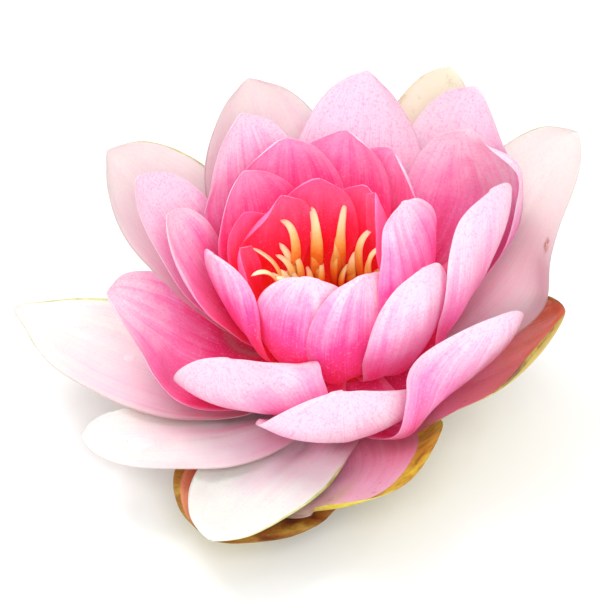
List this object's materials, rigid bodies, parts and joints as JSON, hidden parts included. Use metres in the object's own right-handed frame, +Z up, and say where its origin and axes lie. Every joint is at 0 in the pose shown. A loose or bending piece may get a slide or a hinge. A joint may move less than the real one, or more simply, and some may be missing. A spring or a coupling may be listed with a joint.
{
  "type": "water lily flower",
  "caption": "Open pink water lily flower, picked with a short stem stub: spreading sepals and cupped petals around golden stamens.",
  "frame": {"origin": "middle of the bounding box of the whole flower, at the level of the surface that it rests on", "axes": "+Z up along the flower's axis, +X to the right and -Y to the front, where the lowest sepals spread"},
  "size_m": [0.1298, 0.101, 0.066],
  "materials": {
    "deep_rose": "soft living petal, deep red-rose, velvety with fine long veins",
    "rose": "soft living petal, saturated rose fading to lilac pink at the tip",
    "pink": "soft living petal, rose at the base to pale pink at the tip, finely stippled",
    "blush": "soft living petal, almost white with a pink flush and faint green margins",
    "sepal_green": "waxy sepal, olive and yellow-brown outside, pink inside",
    "stem_green": "smooth fleshy stem and receptacle, olive green",
    "pistil_gold": "moist golden-orange stigma disc with radial ridges",
    "stamen_cream": "cream-yellow stamens, orange towards their base"
  },
  "bodies": {
    "root": {"broad_stamen_01": "stamen_cream", "broad_stamen_02": "stamen_cream", "broad_stamen_03": "stamen_cream", "broad_stamen_04": "stamen_cream", "broad_stamen_05": "stamen_cream", "broad_stamen_06": "stamen_cream", "broad_stamen_07": "stamen_cream", "broad_stamen_08": "stamen_cream", "broad_stamen_09": "stamen_cream", "broad_stamen_10": "stamen_cream", "broad_stamen_11": "stamen_cream", "broad_stamen_12": "stamen_cream", "crown_petal_back": "rose", "crown_petal_back_left": "rose", "crown_petal_back_right": "rose", "crown_petal_far_left": "rose", "crown_petal_front_left": "rose", "crown_petal_front_right": "rose", "crown_petal_left": "rose", "crown_petal_right": "rose", "inner_petal_back": "deep_rose", "inner_petal_back_left": "deep_rose", "inner_petal_back_right": "deep_rose", "inner_petal_far_left": "deep_rose", "inner_petal_front": "deep_rose", "inner_petal_left": "deep_rose", "inner_petal_right": "deep_rose", "middle_petal_back_left": "pink", "middle_petal_back_right": "pink", "middle_petal_far_right": "pink", "middle_petal_front": "pink", "middle_petal_front_left": "pink", "middle_petal_high_left": "pink", "middle_petal_left": "pink", "middle_petal_low_left": "pink", "middle_petal_low_right": "pink", "middle_petal_right": "pink", "middle_petal_right_front": "pink", "middle_petal_top": "pink", "outer_petal_back": "blush", "outer_petal_far_left": "blush", "outer_petal_front": "blush", "outer_petal_front_left": "blush", "outer_petal_left": "blush", "outer_petal_right": "blush", "pistil": "pistil_gold", "receptacle": "stem_green", "sepal_back": "sepal_green", "sepal_front": "sepal_green", "sepal_front_right": "sepal_green", "sepal_right": "sepal_green", "slender_stamens": "stamen_cream"}
  },
  "joints": []
}
